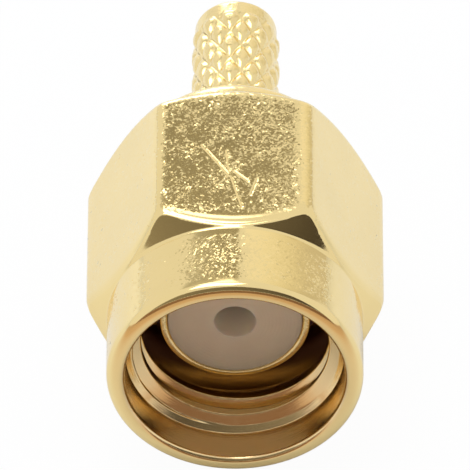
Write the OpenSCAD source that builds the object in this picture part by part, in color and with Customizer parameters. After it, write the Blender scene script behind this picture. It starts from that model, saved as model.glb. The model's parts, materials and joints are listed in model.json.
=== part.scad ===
// Coaxial screw plug, crimp type, for thin cable: a free-turning hex coupling nut held on a
// turned body by a split ring, with a dielectric bead and a face gasket inside.
// Millimetres. The axis lies along Y: the mating end looks to -Y and the cable leaves to +Y.
// The origin is the centre of the mating sleeve's front edge. The nut lies on a flat, at -Z.
// Distances named "..._at" and the y of every turned profile count from the nut's front face.

/* [Mating end] */
// Outer diameter of the mating sleeve
sleeve_d = 4.59; // [4.5:0.01:4.65]
// Chamfer on the sleeve's front edge
sleeve_edge = 0.06; // [0.02:0.01:0.1]
// How far the sleeve's front edge sits inside the nut's front face
sleeve_at = 2.6; // [2.4:0.05:2.8]
// Length of the bare sleeve in front of the gasket
sleeve_len = 1.8; // [1.6:0.05:2]
// Wall of the sleeve round the dielectric bead
sleeve_wall = 0.225; // [0.15:0.005:0.3]
// Length of the dielectric bead
bead_len = 3.6; // [3:0.1:4.2]
// Diameter of the contact hole through the bead
contact_hole_d = 1.27; // [1.2:0.01:1.4]

/* [Coupling nut] */
// Overall length of the nut
nut_len = 8.8; // [8.4:0.1:9.2]
// Width across the wrench flats
nut_flats = 8; // [7.9:0.05:8.3]
// Diameter to which the hexagon's corners are turned down
nut_corners_d = 9.16; // [8.8:0.02:9.2]
// Diameter of the round rim in front of the hexagon
rim_d = 7.8; // [7.6:0.02:7.86]
// Length of the round rim
rim_len = 2.68; // [2.4:0.02:3]
// Rounding of the rim's outer front edge
rim_edge_r = 0.32; // [0.1:0.01:0.35]
// Angle of the hexagon's front chamfer to the axis
front_chamfer_angle = 45; // [35:1:60]
// Angle of the hexagon's rear chamfer to the axis
rear_chamfer_angle = 50; // [35:1:60]
// Depth of the rear chamfer below a flat
rear_chamfer_drop = 0.16; // [0.05:0.01:0.25]
// Minor diameter of the coupling thread
thread_minor_d = 5.72; // [5.7:0.01:5.76]
// Major diameter of the coupling thread, down to which its lead chamfer runs
thread_major_d = 6.35; // [6.3:0.01:6.4]
// Diameter of the counterbore in front of the thread
counterbore_d = 6.68; // [6.5:0.02:6.8]
// Depth of the counterbore
counterbore_len = 1.15; // [1:0.05:1.3]
// Rounding at the mouth of the counterbore
mouth_edge_r = 0.2; // [0.05:0.01:0.22]
// How far in front of the sleeve the thread ends
thread_to_sleeve = 0.1; // [0.05:0.01:0.2]

/* [Body] */
// How far the barrel stands out behind the nut
barrel_out = 1.3; // [0.8:0.05:1.8]
// Rounding of the barrel's rear edge
barrel_edge_r = 0.5; // [0.1:0.05:0.7]
// How far the seat inside the gasket stands out from the sleeve
gasket_seat_step = 0.205; // [0.18:0.005:0.25]
// Thickness of the gasket along the axis
gasket_len = 0.8; // [0.5:0.05:1]
// Radial width of the gasket
gasket_width = 0.53; // [0.45:0.01:0.56]

/* [Retaining ring] */
// Thickness of the split ring along the axis
ring_len = 0.45; // [0.35:0.01:0.5]
// Width of the ring's section
ring_width = 0.75; // [0.65:0.01:0.8]
// How far the ring reaches out of the barrel into the nut
ring_reach = 0.3; // [0.2:0.01:0.35]
// Opening between the ring's two ends
ring_split = 0.9; // [0.5:0.1:2]
// Distance from the gasket's back face to the middle of the ring
ring_back = 1.6; // [1.3:0.05:2]

/* [Crimp stem] */
// Length of the stem behind the barrel
stem_len = 5.77; // [5:0.01:7]
// Diameter over the crests of the knurl
knurl_d = 2.74; // [2.6:0.01:2.9]
// Depth of the knurl's grooves
knurl_depth = 0.13; // [0.05:0.01:0.15]
// Distance along the axis from one diamond to the next
knurl_pitch = 1.22; // [0.9:0.01:1.4]
// Diamonds in one turn
knurl_count = 11; // [9:1:16]
// Length of the smooth neck between barrel and knurl
neck_len = 0.32; // [0.1:0.02:0.5]
// How far the smooth neck and lead-in lie below the knurl's crests
neck_drop = 0.09; // [0.05:0.01:0.12]
// Chamfer on the stem's end
stem_chamfer = 0.18; // [0.05:0.01:0.25]
// Diameter of the bore for the cable's dielectric
cable_bore_d = 1.7; // [1.5:0.02:1.8]

/* [Fits] */
// Radial running clearance between nut and barrel
running_clearance = 0.05; // [0.02:0.01:0.1]
// Radial clearance of a seated piece
seat_clearance = 0.02; // [0.01:0.005:0.03]
// Clearance round the retaining ring in its grooves
ring_clearance = 0.08; // [0.04:0.01:0.1]
// Clearance between gasket and nut
gasket_clearance = 0.2; // [0.1:0.01:0.3]

/* [Hidden] */

GOLD = [0.83, 0.68, 0.37];
BRONZE = [0.72, 0.56, 0.3];
PTFE = [0.93, 0.91, 0.87];
SILICONE = [0.35, 0.12, 0.08];

FINE = 96;          // facets of a turned surface in the preview mesh
PAST = 1;           // how far a cutter runs past the face that it cuts
SUNK = 0.1;         // how far a section reaches into its neighbour
THREAD_FLANK = 30;  // angle between a flank of the thread and a plane across the axis

// Places along the axis, from the nut's front face
thread_end_at = sleeve_at - thread_to_sleeve;
gasket_at = sleeve_at + sleeve_len;
shoulder_at = gasket_at + gasket_len;
ring_at = shoulder_at + ring_back - ring_len / 2;
bead_end_at = sleeve_at + bead_len;
barrel_end_at = nut_len + barrel_out;
stem_end_at = barrel_end_at + stem_len;

// Radii that follow from a neighbour, from the sleeve outwards: bead and gasket, nut's bore, barrel and ring
sleeve_r = sleeve_d / 2;
bead_r = sleeve_r - sleeve_wall - seat_clearance;
gasket_seat_r = sleeve_r + gasket_seat_step;
gasket_r = gasket_seat_r + seat_clearance + gasket_width;
nut_bore_r = gasket_r + gasket_clearance;
barrel_r = nut_bore_r - running_clearance;
ring_r = barrel_r + ring_reach;
ring_inner_r = ring_r - ring_width;
neck_r = knurl_d / 2 - neck_drop;

// The knurl holds whole half pitches and ends at the smooth lead-in
knurl_at = barrel_end_at + neck_len;
knurl_rows = floor((stem_end_at - stem_chamfer - neck_len - knurl_at) / (knurl_pitch / 2));
knurl_end_at = knurl_at + knurl_rows * knurl_pitch / 2;

// Turns a profile, drawn as [radius, distance from the nut's front face], about the axis
module turned() {
    translate([0, -sleeve_at, 0])
        rotate([-90, 0, 0])
            rotate_extrude($fn = FINE)
                children();
}

// Section of a ring or disc between two radii and two places along the axis
module band(inner_r, outer_r, from, to) {
    translate([inner_r, from])
        square([outer_r - inner_r, to - from]);
}

// What a rounded outer edge takes off the corner at [r, at]; side is -1 for a front edge, 1 for a rear one
module edge_cutter(r, at, edge_r, side) {
    translate([r - edge_r, at - side * edge_r])
        difference() {
            translate([0, side > 0 ? 0 : -edge_r - PAST])
                square([edge_r + PAST, edge_r + PAST]);
            circle(r = edge_r, $fn = FINE);
        }
}

// Section of the nut's blank: round rim, front chamfer, corners and rear chamfer
module nut_outline() {
    flat_r = nut_flats / 2;
    corner_r = nut_corners_d / 2;
    rear_r = flat_r - rear_chamfer_drop;
    front_run = (corner_r - rim_d / 2) / tan(front_chamfer_angle);
    rear_run = (corner_r - rear_r) / tan(rear_chamfer_angle);
    difference() {
        polygon([
            [0, 0], [rim_d / 2, 0], [rim_d / 2, rim_len],
            [corner_r, rim_len + front_run], [corner_r, nut_len - rear_run],
            [rear_r, nut_len], [0, nut_len]
        ]);
        edge_cutter(rim_d / 2, 0, rim_edge_r, -1);
    }
}

// Section of the hole through the nut: counterbore, thread at its minor diameter, bearing bore, ring groove
module nut_hole() {
    counterbore_r = counterbore_d / 2;
    thread_r = thread_minor_d / 2;
    major_r = thread_major_d / 2;
    // the front face stays between the roundings of the rim and of the mouth
    mouth_r = min(mouth_edge_r, rim_d / 2 - rim_edge_r - counterbore_r);
    lead_end = counterbore_len + counterbore_r - major_r;
    polygon([
        [0, -PAST], [counterbore_r, -PAST], [counterbore_r, counterbore_len], [major_r, lead_end],
        [thread_r, lead_end + (major_r - thread_r) * tan(THREAD_FLANK)],
        [thread_r, thread_end_at + SUNK], [0, thread_end_at + SUNK]
    ]);
    difference() {
        band(0, counterbore_r + mouth_r, -PAST, mouth_r);
        translate([counterbore_r + mouth_r, mouth_r])
            circle(r = mouth_r, $fn = FINE);
    }
    band(0, nut_bore_r, thread_end_at, nut_len + PAST);
    band(0, ring_r + ring_clearance, ring_at - ring_clearance, ring_at + ring_len + ring_clearance);
}

module coupling_nut() {
    color(GOLD)
        difference() {
            intersection() {
                translate([0, -sleeve_at - PAST, 0])
                    rotate([-90, 0, 0])
                        cylinder(h = nut_len + 2 * PAST, r = nut_flats / 2 / cos(30), $fn = 6);
                turned() nut_outline();
            }
            turned() nut_hole();
        }
}

// Section of the turned body from the sleeve to the back of the barrel
module body_outline() {
    difference() {
        union() {
            polygon([
                [0, sleeve_at], [sleeve_r - sleeve_edge, sleeve_at], [sleeve_r, sleeve_at + sleeve_edge],
                [sleeve_r, gasket_at], [0, gasket_at]
            ]);
            band(0, gasket_seat_r, gasket_at, shoulder_at);
            band(0, barrel_r, shoulder_at, barrel_end_at);
        }
        edge_cutter(barrel_r, barrel_end_at, barrel_edge_r, 1);
        band(ring_inner_r - ring_clearance, barrel_r + PAST,
             ring_at - ring_clearance, ring_at + ring_len + ring_clearance);
    }
}

// Section of the stem under and around the knurl: core, neck and chamfered lead-in
module stem_outline() {
    root_r = knurl_d / 2 - knurl_depth;
    band(0, root_r - SUNK, barrel_end_at - SUNK, stem_end_at - stem_chamfer);
    band(0, neck_r, barrel_end_at - SUNK, knurl_at);
    polygon([
        [0, knurl_end_at], [neck_r, knurl_end_at], [neck_r, stem_end_at - stem_chamfer],
        [neck_r - stem_chamfer, stem_end_at], [0, stem_end_at]
    ]);
}

// Diamond knurl: crests and groove crossings alternate round each row and from row to row,
// so two sets of V grooves cross and leave a four-sided pyramid at each crest.
// The first and last rows lie in the grooves, where the knurl runs out.
module diamond_knurl() {
    around = 2 * knurl_count;
    crest_r = knurl_d / 2;
    root_r = crest_r - knurl_depth;
    function on_crest(i, j) = (i + j) % 2 == 1 && j > 0 && j < knurl_rows;
    function row_at(j) = knurl_at - sleeve_at + j * knurl_pitch / 2;
    function point(i, j, r) = [r * cos(360 * i / around), row_at(j), r * sin(360 * i / around)];
    function id(i, j) = j * around + i % around;
    points = [
        for (j = [0 : knurl_rows], i = [0 : around - 1])
            point(i, j, on_crest(i, j) ? crest_r : root_r)
    ];
    // each square of the grid is split along the groove, which joins its two groove crossings
    sides = [
        for (j = [0 : knurl_rows - 1], i = [0 : around - 1])
            each (i + j) % 2 == 0
                ? [[id(i, j), id(i + 1, j), id(i + 1, j + 1)], [id(i, j), id(i + 1, j + 1), id(i, j + 1)]]
                : [[id(i, j), id(i + 1, j), id(i, j + 1)], [id(i + 1, j), id(i + 1, j + 1), id(i, j + 1)]]
    ];
    front = [for (i = [around - 1 : -1 : 0]) id(i, 0)];
    rear = [for (i = [0 : around - 1]) id(i, knurl_rows)];
    polyhedron(points = points, faces = concat(sides, [front, rear]));
}

module connector_body() {
    color(GOLD)
        difference() {
            union() {
                turned() {
                    body_outline();
                    stem_outline();
                }
                diamond_knurl();
            }
            turned() {
                band(0, bead_r + seat_clearance, sleeve_at - PAST, bead_end_at);
                band(0, cable_bore_d / 2, bead_end_at - SUNK, stem_end_at + PAST);
            }
        }
}

module insulator() {
    color(PTFE)
        turned()
            band(contact_hole_d / 2, bead_r, sleeve_at, bead_end_at);
}

module gasket() {
    color(SILICONE)
        turned()
            band(gasket_seat_r + seat_clearance, gasket_r, gasket_at, shoulder_at);
}

module retaining_ring() {
    color(BRONZE)
        difference() {
            turned()
                band(ring_inner_r, ring_r, ring_at, ring_at + ring_len);
            translate([-ring_split / 2, ring_at - sleeve_at - PAST, 0])
                cube([ring_split, ring_len + 2 * PAST, ring_r + PAST]);
        }
}

coupling_nut();
connector_body();
insulator();
gasket();
retaining_ring();
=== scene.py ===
"""Looks of a gold-plated coaxial screw plug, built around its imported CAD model.

Profiles are in millimetres. A turned profile is a list of (radius, place) points, where the place runs
along the axis from the nut's front face towards the cable. Angles go from +Z towards +X, in degrees.
"""

import json
import math

import bmesh
import bpy
from mathutils import Matrix, Vector


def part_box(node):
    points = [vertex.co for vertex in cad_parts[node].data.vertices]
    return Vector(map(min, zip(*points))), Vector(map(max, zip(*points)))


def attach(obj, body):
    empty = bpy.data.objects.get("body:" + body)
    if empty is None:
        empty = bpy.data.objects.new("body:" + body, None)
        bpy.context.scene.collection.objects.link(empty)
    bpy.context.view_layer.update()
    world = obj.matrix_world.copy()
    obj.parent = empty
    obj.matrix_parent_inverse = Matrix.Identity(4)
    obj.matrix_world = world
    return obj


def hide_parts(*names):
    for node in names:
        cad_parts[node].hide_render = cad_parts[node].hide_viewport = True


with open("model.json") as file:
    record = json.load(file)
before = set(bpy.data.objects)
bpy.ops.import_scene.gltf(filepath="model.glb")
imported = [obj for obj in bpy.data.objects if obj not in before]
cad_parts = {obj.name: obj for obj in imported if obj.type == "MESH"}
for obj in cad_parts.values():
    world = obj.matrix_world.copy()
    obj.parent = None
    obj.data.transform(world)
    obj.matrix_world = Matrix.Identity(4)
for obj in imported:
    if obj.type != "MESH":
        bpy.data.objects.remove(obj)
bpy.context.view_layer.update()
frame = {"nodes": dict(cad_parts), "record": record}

MM = 0.001


# ---------------------------------------------------------------- sizes from the frame

def mount(name):
    return next(m for m in frame["record"]["mounts"] if m["name"] == name)


def span(node):
    """Where a CAD node begins and ends along the axis, from the nut's front face, and its largest radius."""
    low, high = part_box(node)
    return (low.y - nut_low.y) / MM, (high.y - nut_low.y) / MM, high.x / MM


nut_low, nut_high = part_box("coupling_nut")
NUT_LEN = (nut_high.y - nut_low.y) / MM
FLAT_R = nut_high.z / MM
FLOOR_Z = nut_low.z
SLEEVE_AT, STEM_END, BARREL_R = span("connector_body")
BEAD_AT, BEAD_END, BEAD_R = span("insulator")
GASKET_AT, GASKET_END, GASKET_R = span("gasket")
RING_AT, RING_END, _ = span("retaining_ring")
SLEEVE_R = mount("interface_sleeve")["dims"]["r_mm"]
MINOR_R = mount("coupling_thread")["dims"]["r_mm"]
CONTACT_R = mount("contact_hole")["dims"]["r_mm"]
CABLE_R = mount("cable_bore")["dims"]["r_mm"]
NECK_R = mount("crimp_stem")["dims"]["r_mm"]

# Coupling nut
RIM_R = 3.9
RIM_LEN = 2.68
RIM_EDGE = 0.32
RIM_FILLET = 0.05        # concave, between the rim and the front chamfer
CHAMFER_EDGE = 0.05      # rounding between the front chamfer and a flat
REAR_DROP = 0.16
REAR_EDGE = 0.3          # rounding between a flat and the rear chamfer
REAR_SLOPE = math.tan(math.radians(50))
ROLL_DEPTH = 0.055       # how far a flat falls towards its front edge, and over what length
ROLL_LEN = 0.42
CORNER_BLEND = 0.62      # how wide the flats roll off to the six edges between them
COUNTERBORE_R = 3.34
COUNTERBORE_LEN = 1.15
MOUTH_EDGE = 0.2
THREAD_END = 2.5
THREAD_PITCH = 0.7056
THREAD_ROOT_R = 3.175
THREAD_CREST = 0.27      # width of a crest along the axis
FLANK_SLOPE = 1 / math.tan(math.radians(30))
THREAD_AT = 1.27         # where a crest crosses the plane above the axis
LEAD_END_R = 3.175       # radius at which the lead chamfer gives way to the first turn
BORE_R = 3.25
BORE_CHAMFER = 0.15
GROOVE_R = 3.58
GROOVE_PLAY = 0.08

# Body
BARREL_END = 10.1
BARREL_EDGE = 0.5
SLEEVE_EDGE = 0.06
GASKET_SEAT_R = 2.5
RING_GROOVE_R = 2.67
KNURL_AT = 10.42
KNURL_END = 15.35
KNURL_R = 1.37
KNURL_DEPTH = 0.13
KNURL_PITCH = 1.22
KNURL_COUNT = 11
KNURL_CREST = (90, 15.06)   # where one of its crests lies, as an angle and a place
KNURL_FULLNESS = 1.6     # above 1 the diamonds are flattened at their crests
KNURL_FADE = 0.25        # length over which the knurl runs out at either end
NECK_FILLET = 0.08       # between the barrel's rear face and the neck
STEM_CHAMFER = 0.18
BEAD_PLAY = 0.02


# ---------------------------------------------------------------- mesh helpers

def straight(a, b, count):
    """Points from a to b, without b, for joining to what follows."""
    return [(a[0] + (b[0] - a[0]) * i / count, a[1] + (b[1] - a[1]) * i / count) for i in range(count)]


def arc(centre, radius, start, end, count):
    """Points round a centre. Angle 0 points outwards and 90 towards the cable."""
    points = []
    for i in range(count + 1):
        a = math.radians(start + (end - start) * i / count)
        points.append((centre[0] + radius * math.cos(a), centre[1] + radius * math.sin(a)))
    return points


def smooth_min(a, b, width, power=2):
    """The lesser of two heights, with a rounded change between them. A higher power rolls off more gently."""
    h = max(width - abs(a - b), 0) / width
    return min(a, b) - h ** power * width / (2 * power)


def smooth_max(a, b, width, power=2):
    return -smooth_min(-a, -b, width, power)


def smooth_step(low, high, x):
    t = min(max((x - low) / (high - low), 0), 1)
    return t * t * (3 - 2 * t)


def turned(name, angles, profile_at):
    """A mesh of revolution whose closed profile may change with the angle."""
    mesh = bpy.data.meshes.new(name)
    verts, faces = [], []
    for angle in angles:
        a = math.radians(angle)
        for r, at in profile_at(angle):
            verts.append((r * math.sin(a) * MM, at * MM + nut_low.y, r * math.cos(a) * MM))
    n = len(verts) // len(angles)
    for i in range(len(angles)):
        j = (i + 1) % len(angles)
        for k in range(n):
            m = (k + 1) % n
            faces.append((i * n + k, i * n + m, j * n + m, j * n + k))
    mesh.from_pydata(verts, [], faces)
    mesh.validate()
    bm = bmesh.new()
    bm.from_mesh(mesh)
    bmesh.ops.remove_doubles(bm, verts=bm.verts, dist=1e-8)
    bmesh.ops.recalc_face_normals(bm, faces=bm.faces)
    bm.to_mesh(mesh)
    bm.free()
    for p in mesh.polygons:
        p.use_smooth = True
    piece = bpy.data.objects.new(name, mesh)
    bpy.context.scene.collection.objects.link(piece)
    return piece


def even_angles(count):
    return [360 * i / count for i in range(count)]


def dress(piece, body, node, material):
    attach(piece, body)
    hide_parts(node)
    piece.data.materials.clear()
    piece.data.materials.append(material)


# ---------------------------------------------------------------- materials

class Nodes:
    """A material's node tree, with short calls to add and join nodes."""

    def __init__(self, name):
        self.material = bpy.data.materials.new(name)
        self.material.use_nodes = True
        self.tree = self.material.node_tree
        self.tree.nodes.clear()
        self.output = self.tree.nodes.new("ShaderNodeOutputMaterial")
        self.shader = self.tree.nodes.new("ShaderNodeBsdfPrincipled")
        self.join(self.shader.outputs[0], self.output.inputs[0])

    def join(self, source, target):
        self.tree.links.new(source, target)

    def put(self, kind, settings=None, **inputs):
        node = self.tree.nodes.new("ShaderNode" + kind)
        for key, value in (settings or {}).items():
            setattr(node, key, value)
        for key, value in inputs.items():
            by_number = key[0] == "i" and key[1:].isdigit()
            socket = node.inputs[int(key[1:]) if by_number else key.replace("_", " ")]
            if isinstance(value, bpy.types.NodeSocket):
                self.join(value, socket)
            else:
                socket.default_value = value
        return node

    def math(self, operation, a, b=0.0):
        return self.put("Math", {"operation": operation}, i0=a, i1=b).outputs[0]

    def ramp(self, factor, stops):
        node = self.put("ValToRGB", Fac=factor)
        ramp = node.color_ramp
        while len(ramp.elements) < len(stops):
            ramp.elements.new(0.5)
        for element, (place, colour) in zip(ramp.elements, stops):
            element.position = place
            element.color = (*colour, 1)
        return node.outputs[0]

    def noise(self, vector, scale, detail):
        return self.put("TexNoise", Vector=vector, Scale=scale, Detail=detail).outputs[0]

    def bump(self, height, depth, normal=None, strength=1.0):
        """Bump whose height of 0 to 1 stands for a depth in millimetres."""
        node = self.put("Bump", Height=height, Distance=depth * MM, Strength=strength)
        if normal is not None:
            self.join(normal, node.inputs["Normal"])
        return node.outputs[0]


def per_mm(size):
    """Texture scale at which one cell measures the given number of millimetres."""
    return 1 / (size * MM)


def flakes(n, place, size, stretch, heading, share, tilt):
    """A lean of the surface for each cell of a torn pattern, to add to its normal.

    About a share of the cells lean, and most of them a little. The cells are size millimetres wide and are
    stretched along the heading, in degrees."""
    drift = n.put("TexNoise", Vector=place, Scale=per_mm(2 * size), Detail=1.0).outputs["Color"]
    reach = (1.6 * size * MM,) * 3
    torn = n.put("VectorMath", {"operation": "MULTIPLY_ADD"}, i0=drift, i1=reach, i2=place).outputs[0]
    turn = (math.radians(11), math.radians(17), math.radians(heading))
    turned_place = n.put("Mapping", Vector=torn, Rotation=turn).outputs[0]
    drawn = n.put("Mapping", Vector=turned_place, Scale=(1 / stretch, 1, 1)).outputs[0]
    cells = n.put("TexVoronoi", Vector=drawn, Scale=per_mm(size), Randomness=1.0).outputs["Color"]
    lean = n.put("VectorMath", {"operation": "SUBTRACT"}, i0=cells, i1=(0.5, 0.5, 0.5)).outputs[0]
    # cells whose lean is shorter than the limit stay level, and from there on it grows to the full tilt
    # (0.62 is the radius of a ball of volume 1)
    length = n.put("VectorMath", {"operation": "LENGTH"}, i0=lean).outputs["Value"]
    limit = 0.62 * (1 - share) ** (1 / 3)
    amount = n.put("MapRange", Value=length, From_Min=limit, From_Max=0.8, To_Max=tilt).outputs[0]
    scaled = n.put("VectorMath", {"operation": "SCALE"}, i0=lean)
    n.join(amount, scaled.inputs["Scale"])
    return scaled.outputs[0]


def scratch(n, place, start, end, width):
    """A height that is 0 on a line between two places and 1 beside it, in millimetres as (x, along, z)."""
    a, b = (Vector((p[0], p[1] + nut_low.y / MM, p[2])) * MM for p in (start, end))
    away = n.put("VectorMath", {"operation": "SUBTRACT"}, i0=place, i1=a).outputs[0]
    share = n.put("VectorMath", {"operation": "DOT_PRODUCT"}, i0=away, i1=(b - a) / (b - a).length_squared)
    share = n.put("Clamp", Value=share.outputs["Value"]).outputs[0]
    nearest = n.put("VectorMath", {"operation": "SCALE"}, i0=b - a)
    n.join(share, nearest.inputs["Scale"])
    gap = n.put("VectorMath", {"operation": "DISTANCE"}, i0=away, i1=nearest.outputs[0]).outputs["Value"]
    return n.put("MapRange", {"interpolation_type": "SMOOTHSTEP"}, Value=gap, From_Max=width * MM).outputs[0]


def outside_stretch(n, place, start, end, strength):
    """The strength, faded to nothing between two places along the axis."""
    fade = 0.12
    along = n.math("SUBTRACT", n.put("SeparateXYZ", Vector=place).outputs["Y"], nut_low.y)
    before = n.put("MapRange", Value=along, From_Min=(start - fade) * MM, From_Max=start * MM,
                   To_Min=1.0, To_Max=0.0).outputs[0]
    after = n.put("MapRange", Value=along, From_Min=end * MM, From_Max=(end + fade) * MM).outputs[0]
    return n.math("MULTIPLY", n.math("MAXIMUM", before, after), strength)


def gold(name, colour, roughness, flaked=0.0, smooth=(), scratches=(), lines=None):
    """Gold plate.

    Flaked is how far the sides of the small dents that tumbling leaves lean, save in the smooth stretches of
    the axis. Scratches are (start, end) lines, and lines are tool marks as (stretch, depth)."""
    n = Nodes(name)
    place = n.put("TexCoord").outputs["Object"]
    # plate thickness and handling change the colour a little from place to place
    patches = n.noise(place, per_mm(1.6), 3)
    tone = n.ramp(patches, [(0.3, [c * 0.965 for c in colour]), (0.7, colour)])
    n.join(tone, n.shader.inputs["Base Color"])
    n.shader.inputs["Metallic"].default_value = 1
    fine = n.noise(place, per_mm(0.1), 1)
    low, high = roughness
    rough = n.put("MapRange", Value=fine, To_Min=low, To_Max=high).outputs[0]
    n.join(rough, n.shader.inputs["Roughness"])
    normal = n.bump(n.noise(place, per_mm(0.9), 2), 0.004)
    scratch_width, scratch_depth = 0.07, 0.012
    for start, end in scratches:
        normal = n.bump(scratch(n, place, start, end, scratch_width), scratch_depth, normal)
    if flaked:
        strength = n.ramp(n.noise(place, per_mm(0.7), 2), [(0.35, (0.4, 0.4, 0.4)), (0.65, (1, 1, 1))])
        for start, end in smooth:
            strength = outside_stretch(n, place, start, end, strength)
        leans = [
            flakes(n, place, 0.06, 1.0, 20, 0.6, flaked),
            flakes(n, place, 0.05, 2.8, 38, 0.5, flaked),
            flakes(n, place, 0.05, 3.2, -50, 0.5, flaked),
        ]
        total = leans[0]
        for lean in leans[1:]:
            total = n.put("VectorMath", {"operation": "ADD"}, i0=total, i1=lean).outputs[0]
        faded = n.put("VectorMath", {"operation": "SCALE"}, i0=total)
        n.join(strength, faded.inputs["Scale"])
        leaning = n.put("VectorMath", {"operation": "ADD"}, i0=normal, i1=faded.outputs[0]).outputs[0]
        normal = n.put("VectorMath", {"operation": "NORMALIZE"}, i0=leaning).outputs[0]
    if lines:
        stretch, depth = lines
        lengthwise = n.put("Mapping", Vector=place, Scale=stretch).outputs[0]
        normal = n.bump(n.noise(lengthwise, 1.0, 3), depth, normal)
    n.join(normal, n.shader.inputs["Normal"])
    return n.material


def bead_material():
    """Turned white fluoropolymer, faintly translucent, with the tool's rings on its face. Its base colour
    holds painted light: warm tan on the face for the gold's bounced light, paler in the hole.
    """
    n = Nodes("ptfe")
    place = n.put("TexCoord").outputs["Object"]
    # painted light: the warm tan stands in for the gold's warm light bounced onto the white bead in its
    # recess; the cloud varies it at random
    cloud = n.noise(place, per_mm(1.2), 3)
    tone = n.ramp(cloud, [(0.3, (0.84, 0.74, 0.60)), (0.7, (0.90, 0.80, 0.66))])
    flat = n.put("Mapping", Vector=place, Scale=(1, 0, 1)).outputs[0]
    radius = n.put("VectorMath", {"operation": "LENGTH"}, i0=flat).outputs["Value"]
    # the hole's walls are painted paler than the face: painted light that brightens the shaded hole
    outside_painted_bright_hole = n.math("GREATER_THAN", radius, (CONTACT_R + 0.02) * MM)
    tone = n.put("Mix", {"data_type": "RGBA"}, i0=outside_painted_bright_hole, i6=(1.0, 0.94, 0.86, 1), i7=tone).outputs[2]
    n.join(tone, n.shader.inputs["Base Color"])
    n.shader.inputs["Roughness"].default_value = 0.45
    n.shader.inputs["Subsurface Weight"].default_value = 0.6
    n.shader.inputs["Subsurface Radius"].default_value = (1.0, 0.7, 0.5)
    n.shader.inputs["Subsurface Scale"].default_value = 0.8 * MM
    rings = n.math("SINE", n.math("MULTIPLY", radius, 2 * math.pi * per_mm(0.11)))
    normal = n.bump(rings, 0.0012)
    normal = n.bump(n.noise(place, per_mm(0.12), 2), 0.004, normal)
    n.join(normal, n.shader.inputs["Normal"])
    return n.material


def silicone_material():
    """Matte silicone rubber with a faint bloom."""
    n = Nodes("silicone")
    place = n.put("TexCoord").outputs["Object"]
    bloom = n.noise(place, per_mm(0.5), 3)
    n.join(n.ramp(bloom, [(0.3, (0.20, 0.11, 0.15)), (0.7, (0.25, 0.14, 0.19))]),
           n.shader.inputs["Base Color"])
    n.shader.inputs["Roughness"].default_value = 0.5
    n.join(n.bump(n.noise(place, per_mm(0.08), 2), 0.004), n.shader.inputs["Normal"])
    return n.material


def bronze_material():
    """Bare spring bronze with the drawing marks of the wire."""
    n = Nodes("ring_bronze")
    place = n.put("TexCoord").outputs["Object"]
    tarnish = n.noise(place, per_mm(0.7), 3)
    n.join(n.ramp(tarnish, [(0.3, (0.42, 0.24, 0.10)), (0.7, (0.55, 0.34, 0.15))]),
           n.shader.inputs["Base Color"])
    n.shader.inputs["Metallic"].default_value = 1
    n.shader.inputs["Roughness"].default_value = 0.35
    n.join(n.bump(n.noise(place, per_mm(0.1), 2), 0.004), n.shader.inputs["Normal"])
    return n.material


# long scratches in the upper flat, as the ends of their straight parts in (x, along, z)
TOP = FLAT_R
SCRATCHES = (
    ((-0.97, 6.2, TOP), (-0.44, 5.35, TOP)), ((-0.44, 5.35, TOP), (-0.14, 4.85, TOP)),
    ((-0.22, 5.95, TOP), (-0.14, 5.1, TOP)), ((-0.14, 5.1, TOP), (0.06, 4.25, TOP)),
    ((0.06, 4.25, TOP), (0.25, 3.5, TOP)), ((0, 5.05, TOP), (0.43, 4.6, TOP)),
    ((0.7, 4.7, TOP), (0.5, 4, TOP)),
)

NUT_GOLD = gold("nut_gold", (0.95, 0.745, 0.35), (0.08, 0.12), flaked=0.26, smooth=((0, 0.42), (2.45, 3.15)),
                scratches=SCRATCHES)
BORE_GOLD = gold("bore_gold", (0.94, 0.72, 0.38), (0.13, 0.2), lines=((900, 30000, 900), 0.003))
BODY_GOLD = gold("body_gold", (0.95, 0.755, 0.37), (0.18, 0.25), flaked=0.2)
PTFE = bead_material()
SILICONE = silicone_material()
BRONZE = bronze_material()


# ---------------------------------------------------------------- coupling nut

def hexagon_radius(angle):
    """Radius of the hexagon, whose flats roll off to rounded edges."""
    off = abs((angle + 30) % 60 - 30)
    this_flat = FLAT_R / math.cos(math.radians(off))
    next_flat = FLAT_R / math.cos(math.radians(60 - off))
    return smooth_min(this_flat, next_flat, CORNER_BLEND, 4)


def nut_outside(angle, at):
    """Radius of the nut's outside: round rim, front chamfer, flats and rear chamfer."""
    side = hexagon_radius(angle)
    chamfer = RIM_R + at - RIM_LEN
    # tumbling has rolled each flat off towards its front edge
    past_edge = max(chamfer - side, 0)
    side -= ROLL_DEPTH * max(1 - past_edge / ROLL_LEN, 0) ** 3
    rear = FLAT_R - REAR_DROP + (NUT_LEN - at) * REAR_SLOPE
    body = smooth_min(smooth_min(side, chamfer, CHAMFER_EDGE), rear, REAR_EDGE, 3)
    return smooth_max(body, RIM_R, RIM_FILLET)


def thread_radius(angle, at):
    """Radius of the internal thread, a right-handed helix of one start."""
    turn = (at - THREAD_AT - THREAD_PITCH * angle / 360) / THREAD_PITCH
    off = abs(turn - round(turn)) * THREAD_PITCH
    flank = MINOR_R + (off - THREAD_CREST / 2) * FLANK_SLOPE
    return smooth_min(smooth_max(flank, MINOR_R, 0.03), THREAD_ROOT_R, 0.04)


def nut_inside(angle, at):
    lead = COUNTERBORE_R - (at - COUNTERBORE_LEN)
    if lead < LEAD_END_R:
        lead = LEAD_END_R - FLANK_SLOPE * (LEAD_END_R - lead)
    return smooth_max(thread_radius(angle, at), lead, 0.02)


def places(start, end, step):
    count = max(round((end - start) / step), 1)
    return [start + (end - start) * i / count for i in range(count + 1)]


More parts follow.
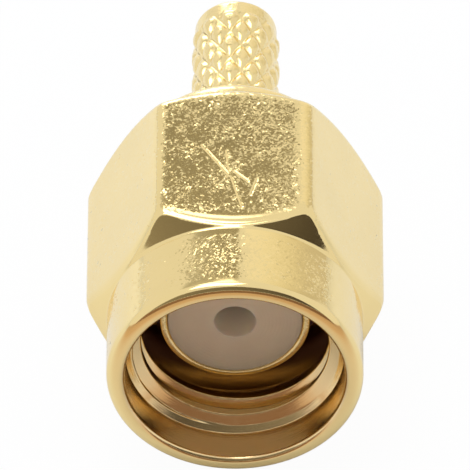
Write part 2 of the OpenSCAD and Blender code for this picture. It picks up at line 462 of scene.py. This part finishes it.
def nut_profile(angle):
    edge = 0.04
    points = [(COUNTERBORE_R + MOUTH_EDGE + 0.01, 0)]
    points += arc((RIM_R - RIM_EDGE, RIM_EDGE), RIM_EDGE, -90, 0, 18)
    outside = places(RIM_EDGE + 0.2, 2.3, 0.35) + places(2.36, 3.5, 0.024) + places(3.7, 7.7, 0.4)
    outside += places(7.8, NUT_LEN - edge, 0.035)
    points += [(nut_outside(angle, at), at) for at in outside]
    rear_r = FLAT_R - REAR_DROP
    points += straight((rear_r - edge, NUT_LEN), (BORE_R + BORE_CHAMFER, NUT_LEN), 5)
    points += straight((BORE_R + BORE_CHAMFER, NUT_LEN), (BORE_R, NUT_LEN - BORE_CHAMFER), 3)
    groove = (RING_AT - GROOVE_PLAY, RING_END + GROOVE_PLAY)
    points += straight((BORE_R, NUT_LEN - BORE_CHAMFER), (BORE_R, groove[1]), 4)
    points += straight((BORE_R, groove[1]), (GROOVE_R, groove[1]), 3)
    points += straight((GROOVE_R, groove[1]), (GROOVE_R, groove[0]), 3)
    points += straight((GROOVE_R, groove[0]), (BORE_R, groove[0]), 3)
    points += straight((BORE_R, groove[0]), (BORE_R, THREAD_END), 8)
    points += straight((BORE_R, THREAD_END), (nut_inside(angle, THREAD_END), THREAD_END), 4)
    thread = places(COUNTERBORE_LEN, THREAD_END, 0.018)
    points += [(nut_inside(angle, at), at) for at in reversed(thread)]
    points += straight((COUNTERBORE_R, COUNTERBORE_LEN - 0.03), (COUNTERBORE_R, MOUTH_EDGE + 0.1), 5)
    points += arc((COUNTERBORE_R + MOUTH_EDGE, MOUTH_EDGE), MOUTH_EDGE, 180, 270, 14)
    return points


def nut_angles():
    """Closer together round the hexagon's six edges than along its flats."""
    rounding = 7
    side = []
    for i in range(12):
        side.append(-30 + rounding * i / 12)
    for i in range(30):
        side.append(-30 + rounding + (60 - 2 * rounding) * i / 30)
    for i in range(12):
        side.append(30 - rounding + rounding * i / 12)
    return [60 * k + a for k in range(6) for a in side]


nut = turned("nut", nut_angles(), nut_profile)
dress(nut, "nut", "coupling_nut", NUT_GOLD)
nut.data.materials.append(BORE_GOLD)
for face in nut.data.polygons:
    radius = math.hypot(face.center.x, face.center.z) / MM
    if radius < COUNTERBORE_R + MOUTH_EDGE / 2:
        face.material_index = 1


# ---------------------------------------------------------------- turned body with its knurled stem

def knurl_radius(angle, at):
    """Rounded diamonds between two crossing sets of grooves, which fade out at both ends."""
    turn = (angle - KNURL_CREST[0]) / 360 * KNURL_COUNT
    step = (at - KNURL_CREST[1]) / KNURL_PITCH
    one = abs(math.cos(math.pi * (turn + step)))
    other = abs(math.cos(math.pi * (turn - step)))
    height = smooth_min(KNURL_FULLNESS * one * other, 1, 0.5)
    fade_in = smooth_step(KNURL_AT, KNURL_AT + KNURL_FADE, at)
    fade_out = smooth_step(KNURL_END, KNURL_END - KNURL_FADE, at)
    crest = KNURL_R - KNURL_DEPTH * (1 - height)
    return NECK_R + (crest - NECK_R) * (fade_in * fade_out)


def body_profile(angle):
    pocket_r = BEAD_R + BEAD_PLAY
    points = straight((pocket_r, SLEEVE_AT + 0.01), (SLEEVE_R - SLEEVE_EDGE, SLEEVE_AT), 2)
    points += arc((SLEEVE_R - SLEEVE_EDGE, SLEEVE_AT + SLEEVE_EDGE), SLEEVE_EDGE, -90, 0, 6)
    points += straight((SLEEVE_R, SLEEVE_AT + 0.1), (SLEEVE_R, GASKET_AT), 5)
    points += straight((SLEEVE_R, GASKET_AT), (GASKET_SEAT_R, GASKET_AT), 2)
    points += straight((GASKET_SEAT_R, GASKET_AT), (GASKET_SEAT_R, GASKET_END), 3)
    points += straight((GASKET_SEAT_R, GASKET_END), (BARREL_R, GASKET_END), 3)
    groove = (RING_AT - GROOVE_PLAY, RING_END + GROOVE_PLAY)
    points += straight((BARREL_R, GASKET_END), (BARREL_R, groove[0]), 3)
    points += straight((BARREL_R, groove[0]), (RING_GROOVE_R, groove[0]), 2)
    points += straight((RING_GROOVE_R, groove[0]), (RING_GROOVE_R, groove[1]), 2)
    points += straight((RING_GROOVE_R, groove[1]), (BARREL_R, groove[1]), 2)
    points += straight((BARREL_R, groove[1]), (BARREL_R, BARREL_END - BARREL_EDGE), 5)
    points += arc((BARREL_R - BARREL_EDGE, BARREL_END - BARREL_EDGE), BARREL_EDGE, 0, 90, 14)
    points += straight((BARREL_R - BARREL_EDGE - 0.1, BARREL_END), (NECK_R + NECK_FILLET, BARREL_END), 5)
    points += [(NECK_R + NECK_FILLET * (1 - math.sin(a)), BARREL_END + NECK_FILLET * (1 - math.cos(a)))
               for a in (0.4, 0.8, 1.2, 1.57)]
    points += [(knurl_radius(angle, at), at) for at in places(BARREL_END + 0.12, KNURL_END + 0.1, 0.05)]
    points += arc((NECK_R - STEM_CHAMFER, STEM_END - STEM_CHAMFER), STEM_CHAMFER, 0, 90, 8)
    points += straight((NECK_R - STEM_CHAMFER - 0.05, STEM_END), (CABLE_R + 0.03, STEM_END), 2)
    points += [(CABLE_R + 0.02, STEM_END - 0.01)]
    points += straight((CABLE_R, STEM_END - 0.04), (CABLE_R, BEAD_END), 12)
    points += straight((CABLE_R, BEAD_END), (pocket_r, BEAD_END), 3)
    points += straight((pocket_r, BEAD_END), (pocket_r, SLEEVE_AT + 0.01), 6)
    return points


body = turned("body", even_angles(KNURL_COUNT * 22), body_profile)
dress(body, "body", "connector_body", BODY_GOLD)


# ---------------------------------------------------------------- bead, gasket and ring

def bead_profile(angle):
    soft = 0.03
    points = arc((BEAD_R - soft, BEAD_AT + soft), soft, -90, 0, 5)
    points += straight((BEAD_R, BEAD_AT + 0.2), (BEAD_R, BEAD_END), 4)
    points += straight((BEAD_R, BEAD_END), (CONTACT_R, BEAD_END), 3)
    points += straight((CONTACT_R, BEAD_END), (CONTACT_R, BEAD_AT + 0.2), 8)
    points += arc((CONTACT_R + soft, BEAD_AT + soft), soft, 180, 270, 5)
    points += straight((CONTACT_R + 0.1, BEAD_AT), (BEAD_R - 0.1, BEAD_AT), 8)
    return points


def gasket_profile(angle):
    soft = 0.15
    inner = GASKET_SEAT_R + 0.02
    points = arc((GASKET_R - soft, GASKET_AT + soft), soft, -90, 0, 6)
    points += arc((GASKET_R - soft, GASKET_END - soft), soft, 0, 90, 6)
    points += arc((inner + soft, GASKET_END - soft), soft, 90, 180, 6)
    points += arc((inner + soft, GASKET_AT + soft), soft, 180, 270, 6)
    return points


bead = turned("bead", even_angles(120), bead_profile)
dress(bead, "body", "insulator", PTFE)
seal = turned("seal", even_angles(120), gasket_profile)
dress(seal, "body", "gasket", SILICONE)
ring = frame["nodes"]["retaining_ring"]
ring.data.materials.clear()
ring.data.materials.append(BRONZE)


# ---------------------------------------------------------------- camera

def set_camera():
    """Looks down the front at the distance and angle of a long studio lens. Angles are in degrees."""
    distance = 325.5 * MM
    elevation = math.radians(44.06)
    yaw = math.radians(-0.5)
    roll = math.radians(-0.55)
    view_width = 14.238 * MM
    c, s = math.cos(elevation), math.sin(elevation)
    turn = Matrix.Rotation(-yaw, 3, "Z")
    forward = turn @ Vector((0, c, -s))
    right_level = turn @ Vector((1, 0, 0))
    down_level = turn @ Vector((0, -s, -c))
    right = math.cos(roll) * right_level - math.sin(roll) * down_level
    down = math.sin(roll) * right_level + math.cos(roll) * down_level
    front = Vector((0, nut_low.y, 0))
    data = bpy.data.cameras.new("camera")
    camera = bpy.data.objects.new("camera", data)
    bpy.context.scene.collection.objects.link(camera)
    data.sensor_width = 36
    data.lens = 36 * distance / view_width
    data.clip_start, data.clip_end = 0.01, 10
    camera.location = front - distance * forward
    target = front + 0.005 * MM * right - 4.431 * MM * down
    back = (camera.location - target).normalized()
    up = (-down - back * back.dot(-down)).normalized()
    side = up.cross(back)
    basis = Matrix((side, up, back)).transposed()
    camera.rotation_euler = basis.to_euler()
    bpy.context.scene.camera = camera


set_camera()


# ---------------------------------------------------------------- stage and light

def card(name, centre, size, facing, colours, foot=1.0):
    """A flat card that lights the object and shows in its gloss, shaded evenly from left to right.

    Foot is how bright its lower edge is beside its upper one.

    Sizes and places are in millimetres from the origin."""
    mesh = bpy.data.meshes.new(name)
    w, h = size[0] / 2 * MM, size[1] / 2 * MM
    mesh.from_pydata([(-w, -h, 0), (w, -h, 0), (w, h, 0), (-w, h, 0)], [], [(0, 1, 2, 3)])
    obj = bpy.data.objects.new(name, mesh)
    bpy.context.scene.collection.objects.link(obj)
    obj.location = Vector(centre) * MM
    back = (Vector(facing) - Vector(centre)).normalized()
    up = back.cross(Vector((1, 0, 0))).normalized()
    side = up.cross(back)
    obj.rotation_euler = Matrix((side, up, back)).transposed().to_euler()
    obj.visible_camera = False
    n = Nodes(name)
    n.tree.nodes.remove(n.shader)
    place = n.put("SeparateXYZ", Vector=n.put("TexCoord").outputs["Generated"])
    stops = [(i / (len(colours) - 1), colour) for i, colour in enumerate(colours)]
    level = n.put("MapRange", Value=place.outputs["Y"], To_Min=foot).outputs[0]
    glow = n.put("Emission", Color=n.ramp(place.outputs["X"], stops), Strength=level)
    n.join(glow.outputs[0], n.output.inputs[0])
    mesh.materials.append(n.material)


BACKGROUND_WHITE = 0.96   # share of plain white in what the camera sees of the floor


def pale_background(tree, lit):
    """White for the camera, mixed so that what is lit, with its shadow, still shows."""
    path = tree.nodes.new("ShaderNodeLightPath")
    white = tree.nodes.new("ShaderNodeEmission")
    white.inputs["Strength"].default_value = 1
    share = tree.nodes.new("ShaderNodeMath")
    share.operation = "MULTIPLY"
    share.inputs[1].default_value = BACKGROUND_WHITE
    tree.links.new(path.outputs["Is Camera Ray"], share.inputs[0])
    mix = tree.nodes.new("ShaderNodeMixShader")
    tree.links.new(share.outputs[0], mix.inputs[0])
    tree.links.new(lit, mix.inputs[1])
    tree.links.new(white.outputs[0], mix.inputs[2])
    return mix.outputs[0]


def set_floor():
    """White paper, painted darker and warm in front of the object: painted shade, tinted as if by light off
    the gold.
    """
    mesh = bpy.data.meshes.new("floor")
    reach = 1.5
    corners = [(-reach, -reach, 0), (reach, -reach, 0), (reach, reach, 0), (-reach, reach, 0)]
    mesh.from_pydata(corners, [], [(0, 1, 2, 3)])
    floor = bpy.data.objects.new("floor", mesh)
    floor.location.z = FLOOR_Z
    bpy.context.scene.collection.objects.link(floor)
    n = Nodes("floor")
    n.tree.nodes.remove(n.shader)
    along = n.put("SeparateXYZ", Vector=n.put("TexCoord").outputs["Object"]).outputs["Y"]
    # painted shade: the ramp makes the floor in front of the object darker and warm, and leaves it pale white
    # behind
    share = n.put("MapRange", Value=along, From_Min=-16 * MM, From_Max=-3 * MM).outputs[0]
    paper = n.put("BsdfDiffuse", Color=n.ramp(share, [(0, (0.72, 0.52, 0.38)), (1, (0.90, 0.93, 0.98))]))
    n.join(pale_background(n.tree, paper.outputs[0]), n.output.inputs[0])
    mesh.materials.append(n.material)


def set_world():
    """Even, plain light from all round, and white to the camera."""
    world = bpy.data.worlds.new("studio")
    bpy.context.scene.world = world
    world.use_nodes = True
    tree = world.node_tree
    tree.nodes.clear()
    out = tree.nodes.new("ShaderNodeOutputWorld")
    path = tree.nodes.new("ShaderNodeLightPath")
    lit = tree.nodes.new("ShaderNodeBackground")
    lit.inputs["Color"].default_value = (0.86, 0.865, 0.87, 1)
    white = tree.nodes.new("ShaderNodeBackground")
    white.inputs["Color"].default_value = (1, 1, 1, 1)
    mix = tree.nodes.new("ShaderNodeMixShader")
    tree.links.new(path.outputs["Is Camera Ray"], mix.inputs[0])
    tree.links.new(lit.outputs[0], mix.inputs[1])
    tree.links.new(white.outputs[0], mix.inputs[2])
    tree.links.new(mix.outputs[0], out.inputs[0])


def set_lamp(name, centre, size, strength):
    """A soft lamp aimed at the origin. Millimetres, and the strength is the brightness of its face."""
    data = bpy.data.lights.new(name, "AREA")
    data.shape = "RECTANGLE"
    data.size, data.size_y = size[0] * MM, size[1] * MM
    data.energy = strength * data.size * data.size_y * math.pi
    lamp = bpy.data.objects.new(name, data)
    lamp.location = Vector(centre) * MM
    lamp.rotation_euler = (-Vector(centre)).to_track_quat("-Z", "Y").to_euler()
    bpy.context.scene.collection.objects.link(lamp)


set_floor()
set_world()
# soft lamps to the left: overhead, low behind, and between the two
set_lamp("overhead", (-23, 12, 100), (43, 70), 2.8)
set_lamp("behind", (-19, 94, 36), (38, 40), 2.8)
set_lamp("high_behind", (-20, 57, 82), (44, 26), 1.5)
# dark card that the top flat mirrors
card("dark_back", (-13.8, 29.8, 31.0), (31.4, 7.4), (-13.8, 0, 0),
     [(0.90, 0.88, 0.82), (0.75, 0.73, 0.66), (0.50, 0.47, 0.39), (0.45, 0.42, 0.34)], 0.5)
# grey card behind the right side
card("grey_back", (52, 86, 44), (76, 88), (52, 0, 44),
     [(0.97, 0.96, 0.93), (0.93, 0.91, 0.84), (0.82, 0.79, 0.68), (0.58, 0.54, 0.47)])
# the dark room behind the camera, and the edge of the table
card("dark_front", (5, -110, 122), (390, 150), (5, 0, 122), [(0.30, 0.27, 0.22), (0.05, 0.04, 0.033)])
card("table_edge", (5, -112, 20), (390, 46), (5, 0, 20), [(0.30, 0.18, 0.12), (0.20, 0.12, 0.08)])

view = bpy.context.scene.view_settings
view.view_transform = "Standard"
